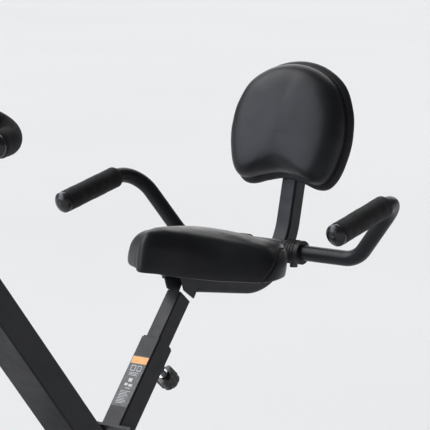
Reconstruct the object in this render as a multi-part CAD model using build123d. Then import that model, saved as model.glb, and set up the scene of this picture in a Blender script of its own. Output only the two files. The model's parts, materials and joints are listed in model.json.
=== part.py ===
from build123d import *
import math
import os

# Folding exercise bike with a backrest.  Two straight members cross in an X at one pivot:
# the seat tube and front leg form one member, the mast and rear leg form the other.
# Origin: floor, under the middle of the bike.  +Z up, +X to the rider's left, -Y forward.

# ---- driving dimensions, millimetres and degrees ----
LEAN = 40.1                  # each crossing member, from the vertical
PIVOT_Y = 24.5               # pivot, fore and aft
PIVOT_Z = 490.0              # pivot height over the floor
FOLD_ANGLE = 40.0            # how far the mast folds back
FOLD_PIN_R = 40.0            # fold pin, from the pivot
STAB_Z = 30.0                # stabiliser centre height, also the end caps' radius
STAB_R = 25.0
FRONT_STAB_HALF = 190.0
REAR_STAB_HALF = 215.0
WALL = 2.0                   # steel tube wall

BEAM_W, BEAM_D = 66.0, 45.0  # mast and rear leg
BEAM_TOP = 765.0             # along the beam from the pivot
LEG_W, LEG_D = 50.0, 40.0    # front leg
SLEEVE_W, SLEEVE_D = 36.0, 39.7
SLEEVE_LOW, SLEEVE_TOP = 65.0, 219.0
SLEEVE_WALL = 2.2
POST_W, POST_D = 26.8, 31.7
POST_LOW, POST_TOP = 90.0, 306.0
BUSH_LOW = 158.0
FIT = 0.05                   # running fit, each side
HOLE_PITCH = 25.0            # seat height holes
SEAT_DOWN, SEAT_UP = 1, 3    # hole steps below and above rest
SEAT_PIN_AT = 190.0
PIN_R = 5.0
PIN_GAP = 0.4                # drawn pin's tip to the face it enters

SPINE = 30.0                 # square bent tube under the seat and up the backrest
SPINE_TILT = 9.95            # lower run slopes down rearward
SPINE_START = (236.1, 250.3) # y, z of the lower run's front end, from the pivot
SPINE_BEND = 117.0
POST_LEAN = 14.0             # backrest, from the vertical
POST_FOOT = (505.5, 353.0)   # y, z of a point on the backrest tube's axis
BACK_POST_TOP = 150.0        # along the backrest from that point

SEAT_ORIGIN = (233.5, 265.0) # y, z on the seat's base plane, from the pivot
SEAT_HEIGHT = 71.0
SEAT_SKIRT = -3.0            # lowest edge of the seat cover
PAN_LOW, PAN_TOP = 5.5, 13.0
PAN_INSET = 16.0

BOARD_OFF = 15.3             # board's rear face, forward of the tube's axis
BOARD_T = 11.5
BACK_PAD_OFF = 68.0          # pad's front

HANDLE_R = 12.7
HANDLE_Y, HANDLE_Z = 439.4, 275.5
HANDLE_CORNER_X = 174.6
HANDLE_TOP = (268.5, 420.5, 390.0)
GRIP_FRONT = (269.6, 238.5, 353.0)
GRIP_LENGTH = 133.5
GRIP_R = 18.0
HANDLE_BEND = 50.0

CRANK_ALONG, CRANK_OUT = -260.0, 107.0     # from the pivot along the leg, and forward of it
WHEEL_ALONG, WHEEL_OUT = -430.0, 132.0
CRANK_ARM = 165.0
CRANK_ANGLE = 20.0
PULLEY_R, SMALL_PULLEY_R = 80.0, 16.0
FLYWHEEL_R = 100.0
BELT_GAP, BELT_T = 0.4, 2.0
BELT_X = (37.3, 42.7)         # belt edges, across
CASE_R1, CASE_R2 = 100.0, 112.0
CASE_HALF = 56.0
CASE_WALL = 3.0

YOKE_IN, YOKE_T = 35.0, 4.0  # pivot yoke cheeks: inner face, thickness
YOKE_OUT = YOKE_IN + YOKE_T
PIVOT_R = 6.0                # pivot bolt
# Fold pin, seen from the pivot: half way between the two folded positions.
FOLD_DIRECTION = math.radians(LEAN - 90 - FOLD_ANGLE / 2)
FOLD_PIN_Y = FOLD_PIN_R * math.cos(FOLD_DIRECTION)
FOLD_PIN_Z = FOLD_PIN_R * math.sin(FOLD_DIRECTION)
SEAT_BOSS_END = 32.0         # seat pin boss, behind the tube axis
STAB_BOLT_R, STAB_BOLT_X = 4.0, 16.0
CAP_REACH = 28.0             # end cap length over the tube
CAP_END = 6.0                # and past its end
# Transport wheel centre, from the front stabiliser axis, and its radius.
WHEEL_Y, WHEEL_Z, TRANSPORT_R = -20.0, 11.0, 22.0
STUB_R = 4.0                 # transport wheel axle stub
MAGNET_HINGE_R = FLYWHEEL_R + 4.7        # hinge pin's distance from the flywheel's axis
MAGNET_HINGE_TURN = math.radians(84)     # and its direction, from up the leg towards the front
MAGNET_SWEEP = math.radians(66)          # shoe length round the wheel
MAGNET_PIN_R = 1.8
ARM_IN, ARM_T = 62.0, 12.0   # crank arms: inner face, thickness
SPINDLE_R, SPINDLE_LEN = 6.0, 88.0
SCREW_R = 1.9
SCREW_SPOTS = ((-172, 135), (-345, 212), (-330, 40), (-198, 39))
BAR_R = 12.7                 # handlebar tube
BAR_CENTRE = 795.0           # its clamp, along the beam
BAR_CORNER_X = 150.0
# Corners of the left half after the straight run, from the pivot, and the bends there.
BAR_POINTS = ((197, -378, 560), (214, -459, 557))
BAR_BENDS = (45.0, 20.0)
FOAM_R = 16.0
CLAMP_BOLT_R = 3.0
CLAMP_BOLT_SPOTS = [(x, y) for x in (-16, 16) for y in (-17, 17)]
CONSOLE_TILT = 30.0
CONSOLE_AT = (0, -560, 668)  # from the pivot
BUTTON_TRAVEL = 1.5
TENSION_AT = 560.0           # tension knob, along the beam
BACK_BOLT_R = 3.5
BACK_BOLT_SPOTS = (70, 125)
GUSSET_HALF = SPINE / 2 + 3.0
SEAT_BOLT_R = 3.5
NOSE_STUD_Y = -74.0
SEAT_BOLT_SPOTS = [(-36, -32), (36, -32), (-42, 72), (42, 72)]
# Saddle half profile (across, rearward): narrow nose, wings, and a short rounded back.
SEAT_SIDE = [(0, -138), (27, -127), (42, -98), (52, -68), (76, -44), (108, -20), (138, 6), (144, 34), (128, 66),
             (96, 98), (50, 117), (0, 122)]
# Backrest half profile (across, up): two lower lobes with a shallow hollow between, domed top.
BACK_SIDE = [(0, 29), (36, 22.5), (62, 15), (82, 16), (97, 28), (108, 50), (116, 84), (117, 112), (111, 148),
             (89, 190), (48, 217), (0, 226)]
PAD_INSET = 7.5              # the pad stands inside the shell's rim
COLLAR_IN, COLLAR_OUT, RING_END = 39.0, 62.0, 69.5     # side handle collars, across
HANDLE_BOLT_X = 51.0
SLEEVE_R = 17.2              # cross sleeve that takes the side handles
KNOB_START = 43.0            # seat knob, behind the tube axis
KNOB_R, KNOB_LENGTH = 16.5, 25.0

os.makedirs("parts", exist_ok=True)

S, C = math.sin(math.radians(LEAN)), math.cos(math.radians(LEAN))
STAB_ALONG = (PIVOT_Z - STAB_Z) / C          # stabiliser axes, along the members
PIVOT = Vector(0, PIVOT_Y, PIVOT_Z)


def at(x, y, z):
    """Point given from the pivot."""
    return PIVOT + Vector(x, y, z)


def frame_at(point, z_dir):
    """Location with local X across the bike and local Z along z_dir."""
    return Plane(origin=point, x_dir=(1, 0, 0), z_dir=z_dir).location


SEAT_MEMBER = frame_at(PIVOT, (0, S, C))    # local Z up the seat tube, local Y to its rear
MAST_MEMBER = frame_at(PIVOT, (0, -S, C))   # local Z up the mast, local Y to its rear
FRONT_STAB = at(0, -(PIVOT_Z - STAB_Z) * S / C, STAB_Z - PIVOT_Z)
REAR_STAB = at(0, (PIVOT_Z - STAB_Z) * S / C, STAB_Z - PIVOT_Z)

tilt = math.radians(SPINE_TILT)
SPINE_DIR = Vector(0, math.cos(tilt), -math.sin(tilt))
SEAT_NORMAL = Vector(0, math.sin(tilt), math.cos(tilt))
SEAT_FRAME = frame_at(at(0, *SEAT_ORIGIN), SEAT_NORMAL)     # local Y rearward
lean = math.radians(POST_LEAN)
BACK_UP = Vector(0, math.sin(lean), math.cos(lean))
BACK_FRONT = Vector(0, -math.cos(lean), math.sin(lean))
# Backrest outline plane: local X across, local Y up the backrest, local Z forward.
BACK_FRAME = frame_at(at(0, *POST_FOOT), BACK_FRONT)


def save(shape, name):
    """Write one node; separate solids stay separate in a compound."""
    solids = shape.solids()
    body = solids[0] if len(solids) == 1 else Compound(children=list(solids))
    export_step(body, f"parts/{name}.step")


def group(pieces):
    return Compound(children=[s for p in pieces for s in p.solids()])


def bar(w, d, low, high, r=0.0):
    """Rectangular bar along local Z with rounded long edges."""
    face = RectangleRounded(w, d, r) if r else Rectangle(w, d)
    return Pos(0, 0, low) * extrude(face, high - low)


def tube(w, d, low, high, wall=WALL, r=4.0):
    inner = bar(w - 2 * wall, d - 2 * wall, low - 1, high + 1, max(r - wall, 0.6))
    return bar(w, d, low, high, r) - inner


def rod_x(r, x0, x1, y=0.0, z=0.0):
    """Round bar across the bike, at y, z of the frame it is placed in."""
    return Pos(x0, y, z) * Rot(0, 90, 0) * extrude(Circle(r), x1 - x0)


def ring_x(r, bore, x0, x1, y=0.0, z=0.0):
    return rod_x(r, x0, x1, y, z) - rod_x(bore, x0 - 1, x1 + 1, y, z)


def hex_x(across, x0, x1, y=0.0, z=0.0):
    return Pos(x0, y, z) * Rot(0, 90, 0) * extrude(RegularPolygon(across / 2, 6, major_radius=False), x1 - x0)


def bolt_y(r, head_r, length, head=5.0):
    """Screw with a button head at the origin, shank along +Z."""
    return extrude(Circle(r), length) + Pos(0, 0, -head) * extrude(Circle(head_r), head)


def knob(radius, length, lobes, lobe_r):
    """Hand knob along +Z: a round body cut by a ring of finger grooves, crowned at its end."""
    body = extrude(Circle(radius), length)
    body = fillet(body.edges().filter_by(GeomType.CIRCLE).sort_by(Axis.Z)[-1], 4.0)
    for i in range(lobes):
        turn = Rot(0, 0, i * 360 / lobes)
        body -= turn * Pos(radius + lobe_r * 0.45, 0, -1) * extrude(Circle(lobe_r), length + 2)
    return body


def along(path, face_r, bore=0.0):
    """Round bar or tube along a path."""
    start = Plane(origin=path @ 0, z_dir=path % 0)
    solid = sweep(start * Circle(face_r), path=path)
    if bore:
        solid -= sweep(start * Circle(bore), path=path)
    return solid


# ---------------- fixed frame ----------------
def front_leg():
    leg = tube(LEG_W, LEG_D, -STAB_ALONG, -SLEEVE_LOW)
    hole = SEAT_MEMBER.inverse() * Pos(*FRONT_STAB) * rod_x(STAB_R, -100, 100)
    leg = SEAT_MEMBER * (leg - hole)
    return leg.solids().sort_by(Axis.Z)[-1]


def pivot_yoke():
    """Two cheek plates astride the mast, joined by end plates that carry the tubes."""
    cheek = bar(YOKE_OUT * 2, LEG_D, -SLEEVE_LOW, SLEEVE_LOW)
    cheek += rod_x(48, -YOKE_OUT, YOKE_OUT)
    yoke = cheek - Box(YOKE_IN * 2, 200, SLEEVE_LOW * 2 - 2 * YOKE_T)
    yoke -= rod_x(PIVOT_R + FIT, -60, 60)
    yoke = SEAT_MEMBER * yoke
    boss = rod_x(10, -YOKE_OUT - 16, -YOKE_OUT)
    boss = Pos(*at(0, FOLD_PIN_Y, FOLD_PIN_Z)) * boss
    hole = Pos(*at(0, FOLD_PIN_Y, FOLD_PIN_Z)) * rod_x(PIN_R + FIT, -80, 0)
    return yoke + boss - hole


def pivot_bolt():
    shank = rod_x(PIVOT_R, -YOKE_OUT, YOKE_OUT)
    head = rod_x(11, YOKE_OUT, YOKE_OUT + 6)
    nut = hex_x(18, -YOKE_OUT - 9, -YOKE_OUT)
    washers = [ring_x(22, PIVOT_R + 0.2, s * (BEAM_W / 2 + YOKE_IN) / 2 - 0.9,
                      s * (BEAM_W / 2 + YOKE_IN) / 2 + 0.9) for s in (-1, 1)]
    return Pos(*PIVOT) * group([shank + head + nut] + washers)


def seat_tube():
    sleeve = tube(SLEEVE_W, SLEEVE_D, SLEEVE_LOW, SLEEVE_TOP, SLEEVE_WALL, 2.8)
    sleeve -= Pos(0, 0, SEAT_PIN_AT) * Rot(-90, 0, 0) * extrude(Circle(PIN_R + 1), 40)
    return SEAT_MEMBER * sleeve


def seat_tube_bushing():
    """Plastic liner with a lip that closes the top of the seat tube."""
    w, d = SLEEVE_W - 2 * SLEEVE_WALL, SLEEVE_D - 2 * SLEEVE_WALL
    liner = bar(w, d, BUSH_LOW, SLEEVE_TOP, 3.0) + bar(w + 2.4, d + 2.4, SLEEVE_TOP, SLEEVE_TOP + 2.5, 3.5)
    liner -= bar(POST_W + 2 * FIT, POST_D + 2 * FIT, BUSH_LOW - 1, SLEEVE_TOP + 5, 2.2)
    liner -= Pos(0, 0, SEAT_PIN_AT) * Rot(-90, 0, 0) * extrude(Circle(PIN_R + 1), 40)
    return SEAT_MEMBER * liner


def rearward(shape, z):
    """Stand a shape made along +Z out to the rear of the seat tube."""
    return SEAT_MEMBER * Pos(0, 0, z) * Rot(-90, 0, 0) * shape


def seat_pin_boss():
    low = SLEEVE_D / 2
    boss = Pos(0, 0, low) * extrude(Circle(12), 6) + Pos(0, 0, low) * extrude(Circle(9.5), SEAT_BOSS_END - low)
    boss -= extrude(Circle(PIN_R + FIT), 80)
    return rearward(boss, SEAT_PIN_AT)


def stabiliser(place, half, member):
    pipe = rod_x(STAB_R, -half, half) - rod_x(STAB_R - WALL, -half - 1, half + 1)
    for x in (-STAB_BOLT_X, STAB_BOLT_X):
        pipe -= Rot(member * LEAN, 0, 0) * Pos(x, 0, -STAB_R - 5) * extrude(Circle(STAB_BOLT_R + 0.1), 20)
    return Pos(*place) * pipe


def end_cap(place, half, s):
    """Closed rubber cup over a stabiliser end, flat where it stands."""
    inner = half - CAP_REACH
    outer = half + CAP_END
    cup = rod_x(STAB_Z, inner, outer)
    cup = fillet(cup.edges().filter_by(GeomType.CIRCLE).sort_by(Axis.X)[-1], 5.0)
    cup += Pos((inner + outer - 6) / 2, 0, -STAB_Z + 5) * Box(outer - inner - 6, 36, 10)
    cup -= rod_x(STAB_R, inner - 1, half)
    cup = cup if s > 0 else mirror(cup, Plane.YZ)
    return Pos(*place) * cup


def front_end_caps():
    """Caps with a stub axle each for a transport wheel."""
    caps = []
    for s in (-1, 1):
        x0, x1 = FRONT_STAB_HALF + CAP_END - 8, FRONT_STAB_HALF + CAP_END + 20
        stub = rod_x(STUB_R, x0, x1, WHEEL_Y, WHEEL_Z) + rod_x(8, x1, x1 + 3, WHEEL_Y, WHEEL_Z)
        stub += rod_x(7, x0, FRONT_STAB_HALF + CAP_END + 1, WHEEL_Y, WHEEL_Z)
        stub -= rod_x(STAB_R, 0, FRONT_STAB_HALF)
        stub = stub if s > 0 else mirror(stub, Plane.YZ)
        caps.append(end_cap(FRONT_STAB, FRONT_STAB_HALF, s) + Pos(*FRONT_STAB) * stub)
    return group(caps)


def transport_wheel(s):
    x0 = FRONT_STAB_HALF + CAP_END + 1.5
    wheel = rod_x(TRANSPORT_R, x0, x0 + 17, WHEEL_Y, WHEEL_Z)
    wheel = fillet(wheel.edges().filter_by(GeomType.CIRCLE), 2.5)
    groove = ring_x(17, 9, x0 + 14, x0 + 20, WHEEL_Y, WHEEL_Z)
    wheel -= rod_x(STUB_R + FIT, x0 - 1, x0 + 20, WHEEL_Y, WHEEL_Z) + groove
    wheel = wheel if s > 0 else mirror(wheel, Plane.YZ)
    return Pos(*FRONT_STAB) * wheel


def rear_end_caps():
    return group([end_cap(REAR_STAB, REAR_STAB_HALF, s) for s in (-1, 1)])


def stabiliser_bolts(place, member):
    """Two carriage bolts through the stabiliser, square to the leg."""
    bolts = []
    for x in (-STAB_BOLT_X, STAB_BOLT_X):
        bolts.append(Pos(*place) * Rot(member * LEAN, 0, 0) * Pos(x, 0, -STAB_R) * bolt_y(STAB_BOLT_R, 9, 12, 3.5))
    return group(bolts)


def out(along_leg, forward, x=0.0):
    """Place on the drive side: along the leg from the pivot, and forward of its axis."""
    return SEAT_MEMBER * Pos(x, -forward, along_leg)


def magnet_hinge():
    return (WHEEL_ALONG + MAGNET_HINGE_R * math.cos(MAGNET_HINGE_TURN),
            WHEEL_OUT + MAGNET_HINGE_R * math.sin(MAGNET_HINGE_TURN))


def drive_bracket():
    """Welded plates that carry the crank shell and the flywheel axle on the front leg."""
    face = LEG_D / 2
    base = SEAT_MEMBER * Pos(13.5, -face - 2, -360) * Box(75, 4, 260)
    crank_plates = []
    for x in (-18.0, 18.0):
        outline = make_face(Polyline((-300, face + 4), (-220, face + 4), (-236, CRANK_OUT), (-284, CRANK_OUT), close=True))
        crank_plates.append(SEAT_MEMBER * plate_yz(outline, x - 2, x + 2))
    shell = out(CRANK_ALONG, CRANK_OUT) * ring_x(21, 17, -34, 34)
    solid = base + shell
    for plate in crank_plates:
        solid += plate - out(CRANK_ALONG, CRANK_OUT) * rod_x(17, -40, 40)
    for x0, x1 in ((-24.0, -20.0), (47.0, 51.0)):
        outline = make_face(Polyline((-470, face + 2), (-390, face + 2), (-414, WHEEL_OUT), (-446, WHEEL_OUT), close=True))
        solid += SEAT_MEMBER * plate_yz(outline, x0, x1)
        solid += out(WHEEL_ALONG, WHEEL_OUT) * rod_x(16, x0, x1)
    along_hinge, out_hinge = magnet_hinge()
    reach = make_face(Polyline((-446, WHEEL_OUT), (-414, WHEEL_OUT), (along_hinge + 4, out_hinge),
                               (along_hinge - 4, out_hinge), close=True))
    solid += SEAT_MEMBER * plate_yz(reach, -24, -20)
    solid += out(along_hinge, out_hinge) * rod_x(4, -24, -20) + out(along_hinge, out_hinge) * rod_x(MAGNET_PIN_R, -24, 13)
    return solid - out(WHEEL_ALONG, WHEEL_OUT) * rod_x(6, -40, 60)


def plate_yz(face, x0, x1):
    """Extrude a face drawn as (along the leg, forward) across the bike."""
    solid = extrude(face, x1 - x0)
    place = Plane(origin=(x0, 0, 0), x_dir=(0, 0, 1), z_dir=(1, 0, 0))
    return place.location * solid


def crank_bearings():
    return group([out(CRANK_ALONG, CRANK_OUT) * ring_x(17, 8.5 + FIT, s * 28 - 6, s * 28 + 6) for s in (-1, 1)])


def flywheel_axle():
    axle = rod_x(6, -32, 52.9) + hex_x(16, -30, -24)
    return out(WHEEL_ALONG, WHEEL_OUT) * axle


def crank_axle():
    return out(CRANK_ALONG, CRANK_OUT) * rod_x(8.5, -78, 78)


def drive_pulley():
    wheel = rod_x(PULLEY_R, 37, 43) + ring_x(PULLEY_R + 2, PULLEY_R - 6, 36, 37) + ring_x(PULLEY_R + 2, PULLEY_R - 6, 43, 44)
    wheel += rod_x(20, 35, 46)
    for i in range(5):
        a = math.radians(72 * i)
        wheel -= rod_x(17, 30, 50, 48 * math.cos(a), 48 * math.sin(a))
    wheel -= rod_x(8.5, 30, 50)
    return out(CRANK_ALONG, CRANK_OUT) * wheel


def crank_place(s):
    """Left arm down and forward, right arm opposite."""
    a = math.radians(CRANK_ANGLE) + (math.pi if s < 0 else 0)
    centre = out(CRANK_ALONG, CRANK_OUT).position
    return centre, Vector(0, -math.cos(a), -math.sin(a))


def crank_arms():
    pieces = []
    for s in (-1, 1):
        centre, way = crank_place(s)
        place = Plane(origin=centre, x_dir=(1, 0, 0), z_dir=way).location
        x0, x1 = sorted((s * ARM_IN, s * (ARM_IN + ARM_T)))
        arm = Pos((x0 + x1) / 2, 0, CRANK_ARM / 2) * Box(ARM_T, 24, CRANK_ARM)
        arm += rod_x(19, x0, x1) + Pos(0, 0, CRANK_ARM) * rod_x(15, x0, x1)
        arm -= rod_x(8.5, x0 - 1, x1 + 1)
        ends = sorted((s * (ARM_IN + ARM_T), s * (ARM_IN + ARM_T + SPINDLE_LEN)))
        tip = sorted((s * (ARM_IN + ARM_T + SPINDLE_LEN), s * (ARM_IN + ARM_T + SPINDLE_LEN + 4)))
        spindle = Pos(0, 0, CRANK_ARM) * (rod_x(SPINDLE_R, *ends) + rod_x(9, *tip))
        pieces += [place * arm, place * spindle]
    return group(pieces)


def pedal(s):
    """Platform pedal, level, with a tread of cross ribs on both faces."""
    centre, way = crank_place(s)
    half_x, half_y, thick = 41.0, 36.0, 22.0
    middle = ARM_IN + ARM_T + SPINDLE_LEN / 2
    body = fillet(Box(half_x * 2, half_y * 2, thick).edges().filter_by(Axis.Z), 9.0)
    for y in (-18.0, 18.0):
        for x in (-20.0, 20.0):
            body -= Pos(x, y, 0) * Box(30, 14, thick + 2)
    for i in range(5):
        for z in (-1, 1):
            body += Pos(0, (i - 2) * 15.5, z * (thick / 2 + 1)) * Box(half_x * 2 - 14, 3, 2.6)
    body -= rod_x(SPINDLE_R + FIT, -60, 60)
    return Pos(*(centre + way * CRANK_ARM)) * Pos(s * middle, 0, 0) * body


def flywheel():
    disc = rod_x(FLYWHEEL_R, -14, 14) - ring_x(82, 30, -15, -6) - ring_x(82, 30, 6, 15)
    disc += rod_x(18, -18.5, 36) + rod_x(SMALL_PULLEY_R, 36, 44) + rod_x(18, 44, 45.5)
    disc -= rod_x(6 + FIT, -30, 60)
    return out(WHEEL_ALONG, WHEEL_OUT) * disc


def two_disc_outline(r1, r2):
    """Face round the crank and flywheel axes: two discs and the web between their outer tangents."""
    a, b = Vector(CRANK_ALONG, CRANK_OUT), Vector(WHEEL_ALONG, WHEEL_OUT)
    away = b - a
    turn = math.atan2(away.Y, away.X)
    open_angle = math.acos((r1 - r2) / away.length)
    corners = []
    for side in (1, -1):
        q = turn + side * open_angle
        normal = Vector(math.cos(q), math.sin(q))
        corners.append((a + normal * r1, b + normal * r2))
    web = make_face(Polyline(corners[0][0], corners[0][1], corners[1][1], corners[1][0], close=True))
    return web + Pos(a.X, a.Y) * Circle(r1) + Pos(b.X, b.Y) * Circle(r2)


def drive_belt():
    """Closed flat belt round both pulleys, tangent runs and true arcs."""
    outside = two_disc_outline(PULLEY_R + BELT_GAP + BELT_T, SMALL_PULLEY_R + BELT_GAP + BELT_T)
    inside = two_disc_outline(PULLEY_R + BELT_GAP, SMALL_PULLEY_R + BELT_GAP)
    return SEAT_MEMBER * plate_yz(outside - inside, *BELT_X)


def case_outline(grow):
    """Casing outline, cut off flat along the leg."""
    face = two_disc_outline(CASE_R1 + grow, CASE_R2 + grow)
    keep = Pos(-350, LEG_D / 2 + 4.5 - grow + 300) * Rectangle(800, 600)
    return face & keep


def housing(s):
    """Half casing: a dished shell that meets its twin on the middle plane."""
    step = 5.0
    outer = plate_yz(case_outline(0), *sorted((s * 0.2, s * (CASE_HALF - step))))
    outer += plate_yz(case_outline(-step), *sorted((s * 10, s * CASE_HALF)))
    inner = plate_yz(case_outline(-CASE_WALL), *sorted((0.0, s * (CASE_HALF - step - CASE_WALL))))
    inner += plate_yz(case_outline(-step - CASE_WALL), *sorted((0.0, s * (CASE_HALF - CASE_WALL))))
    shell = SEAT_MEMBER * (outer - inner)
    shell -= out(CRANK_ALONG, CRANK_OUT) * rod_x(22, *sorted((s * 40, s * 70)))
    slot = SEAT_MEMBER * Pos(13.5, -LEG_D / 2 - 8, -355) * Box(78, 12, 290)
    shell -= slot
    for spot in SCREW_SPOTS:
        boss = rod_x(6, *sorted((s * 0.2, s * (CASE_HALF - 1))))
        bore = rod_x(SCREW_R, *sorted((s * -5, s * 14)))
        if s < 0:
            bore = rod_x(SCREW_R + 0.1, -30, 5) + rod_x(4.2, -CASE_HALF - 5, -12)
        shell += out(*spot) * boss
        shell -= out(*spot) * bore
    return shell


def housing_screws():
    """Self-tapping screws from the right side."""
    screws = []
    for spot in SCREW_SPOTS:
        screws.append(out(*spot) * Pos(-12, 0, 0) * Rot(0, 90, 0) * bolt_y(SCREW_R, 3.8, 24, 3))
    return group(screws)


def magnet_bracket():
    """Curved shoe round the front of the flywheel, hinged at its upper end, with a row of magnets."""
    centre = Vector(WHEEL_ALONG, WHEEL_OUT)

    def ray(turn, reach):
        return centre + Vector(math.cos(turn), math.sin(turn)) * reach

    first, last = MAGNET_HINGE_TURN, MAGNET_HINGE_TURN + MAGNET_SWEEP
    wedge = make_face(Polyline(centre, ray(first, 220), ray(last, 220), close=True))
    strip = Pos(centre.X, centre.Y) * (Circle(FLYWHEEL_R + 8) - Circle(FLYWHEEL_R + 6))
    shoe = plate_yz(strip & wedge, -12, 12)
    pads = Pos(centre.X, centre.Y) * (Circle(FLYWHEEL_R + 6) - Circle(FLYWHEEL_R + 3.5))
    for i in range(1, 5):
        turn = first + MAGNET_SWEEP * i / 5
        slot = make_face(Polyline(centre, ray(turn, 220), ray(turn + math.radians(7), 220), close=True))
        shoe += plate_yz(pads & slot, -10, 10)
    shoe = SEAT_MEMBER * shoe
    hinge = out(*magnet_hinge())
    return shoe + hinge * rod_x(3.6, -12, 12) - hinge * rod_x(MAGNET_PIN_R + FIT, -20, 20)


# ---------------- mast ----------------
def mast_beam():
    """Straight beam from the rear stabiliser to the handlebar, with a cross bush at the pivot."""
    beam = tube(BEAM_W, BEAM_D, -STAB_ALONG, BEAM_TOP, WALL, 3.2)
    beam -= MAST_MEMBER.inverse() * Pos(*REAR_STAB) * rod_x(STAB_R, -100, 100)
    beam -= rod_x(11, -60, 60)
    beam += ring_x(11, PIVOT_R + FIT, -BEAM_W / 2, BEAM_W / 2)
    for turn in (-FOLD_ANGLE / 2, FOLD_ANGLE / 2):
        a = math.radians(turn)
        y, z = FOLD_PIN_R * math.sin(a), -FOLD_PIN_R * math.cos(a)
        beam -= rod_x(PIN_R + 0.1, -50, 0, y, z)
    beam = MAST_MEMBER * beam
    return max(beam.solids(), key=lambda solid: solid.volume)


def bar_place():
    return MAST_MEMBER * Pos(0, 0, BAR_CENTRE)


def handlebar_clamp():
    """Saddle welded into the beam's top, and its cap: one block split on the bar's axis."""
    saddle = Pos(0, 0, -18.5) * fillet(Box(BEAM_W, BEAM_D, 23).edges().filter_by(Axis.Z), 5)
    saddle += Pos(0, 0, -9) * Box(46, BEAM_D - 2, 16)
    saddle += bar(BEAM_W - 2 * WALL - 0.4, BEAM_D - 2 * WALL - 0.4, -60, -30, 3.0)
    cap = Pos(0, 0, 10) * fillet(Box(46, BEAM_D - 2, 16).edges().filter_by(Axis.Z), 4)
    cap = fillet(cap.edges().group_by(Axis.Z)[-1], 1.5)
    bore = rod_x(BAR_R, -60, 60)
    for x, y in CLAMP_BOLT_SPOTS:
        bore += Pos(x, y, -14) * extrude(Circle(CLAMP_BOLT_R + 0.1), 60)
    return bar_place() * group([saddle - bore, cap - bore])


def clamp_bolts():
    bolts = [Pos(x, y, 18) * Rot(180, 0, 0) * bolt_y(CLAMP_BOLT_R, 4.6, 30, 4) for x, y in CLAMP_BOLT_SPOTS]
    return bar_place() * group(bolts)


def bar_half(s, first=None, stop=0.0):
    """Half of the bar's path: out from the clamp, back and down, then a curl forward."""
    start = bar_place().position - PIVOT
    points = [start, Vector(BAR_CORNER_X, start.Y, start.Z)] + [Vector(*p) for p in BAR_POINTS]
    if stop:
        points[-1] = points[-1] - (points[-1] - points[-2]).normalized() * stop
    bends = list(BAR_BENDS)
    if first is not None:
        points = [points[1] + (points[2] - points[1]) * first] + points[2:]
        bends = bends[1:]
    points = [at(p.X * s, p.Y, p.Z) for p in points]
    return FilletPolyline(*points, radius=bends if len(bends) > 1 else bends[0])


def handlebar():
    halves = [along(bar_half(s), BAR_R, BAR_R - 1.6) for s in (-1, 1)]
    return halves[0] + halves[1]


def handlebar_grips():
    """Foam sleeves over the curled ends."""
    return group([along(bar_half(s, 0.42, 3.0), FOAM_R) - along(bar_half(s), BAR_R) for s in (-1, 1)])


def domed_cap(r, rim, depth):
    """Plug end: short rim and a shallow dome, along +Z from the tube's end."""
    dome_h = depth - rim
    ball = (r * r + dome_h * dome_h) / (2 * dome_h)
    return extrude(Circle(r), rim) + (Pos(0, 0, rim + dome_h - ball) * Sphere(ball) & Pos(0, 0, rim) * extrude(Circle(r), depth))


def facing(point, direction):
    return Plane(origin=point, z_dir=direction).location


def handlebar_end_caps():
    caps = []
    for s in (-1, 1):
        path = bar_half(s)
        caps.append(facing(path @ 1, path % 1) * domed_cap(FOAM_R + 0.6, 3, 9))
    return group(caps)


def console_place():
    return Pos(*at(*CONSOLE_AT)) * Rot(CONSOLE_TILT, 0, 0)


def console_case_back():
    """Lower half of the display housing, with the neck down to the clamp."""
    shell = fillet(Box(150, 96, 18).edges().filter_by(Axis.Z), 14)
    shell = Pos(0, 0, -9.2) * (fillet(shell.edges().group_by(Axis.Z)[0], 5))
    shell -= Pos(0, 0, -7) * fillet(Box(144, 90, 16).edges().filter_by(Axis.Z), 11)
    neck = console_place() * Pos(0, -6, -30) * fillet(Box(40, 30, 30).edges().filter_by(Axis.Z), 5)
    return console_place() * shell + neck


def console_case_front():
    lid = fillet(Box(150, 96, 12).edges().filter_by(Axis.Z), 14)
    lid = Pos(0, 0, 6) * (fillet(lid.edges().group_by(Axis.Z)[-1], 5))
    lid -= Pos(0, 0, 3) * fillet(Box(144, 90, 12).edges().filter_by(Axis.Z), 11)
    lid -= Pos(0, 12, 10) * Box(96, 48, 20)
    lid -= Pos(0, -30, 5) * extrude(Circle(9.3), 20)
    return console_place() * lid


def console_lens():
    return console_place() * Pos(0, 12, 10.4) * Box(95.6, 47.6, 2.4)


def mode_button():
    cap = Pos(0, -30, 6) * extrude(Circle(9), 8)
    cap = fillet(cap.edges().group_by(Axis.Z)[-1], 1.5)
    return console_place() * cap


def tension_knob():
    """Resistance knob on the rear face of the mast, under the handlebar."""
    return MAST_MEMBER * Pos(0, BEAM_D / 2 + 0.4, TENSION_AT) * Rot(-90, 0, 0) * knob(21, 24, 6, 9)


# ---------------- seat carriage ----------------
def seat_post():
    post = tube(POST_W, POST_D, POST_LOW, POST_TOP, WALL, 2.2)
    for step in range(-SEAT_DOWN, SEAT_UP + 1):
        z = SEAT_PIN_AT - step * HOLE_PITCH
        post -= Pos(0, 0, z) * Rot(-90, 0, 0) * extrude(Circle(PIN_R + 0.15), 30)
    return SEAT_MEMBER * post


def spine_path():
    start = at(0, *SPINE_START) - SPINE_DIR * 2.6
    foot = at(0, *POST_FOOT)
    gap = foot - start
    reach = (gap.Y * BACK_UP.Z - gap.Z * BACK_UP.Y) / (SPINE_DIR.Y * BACK_UP.Z - SPINE_DIR.Z * BACK_UP.Y)
    corner = start + SPINE_DIR * reach
    return FilletPolyline(start, corner, foot + BACK_UP * BACK_POST_TOP, radius=SPINE_BEND)


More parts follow.
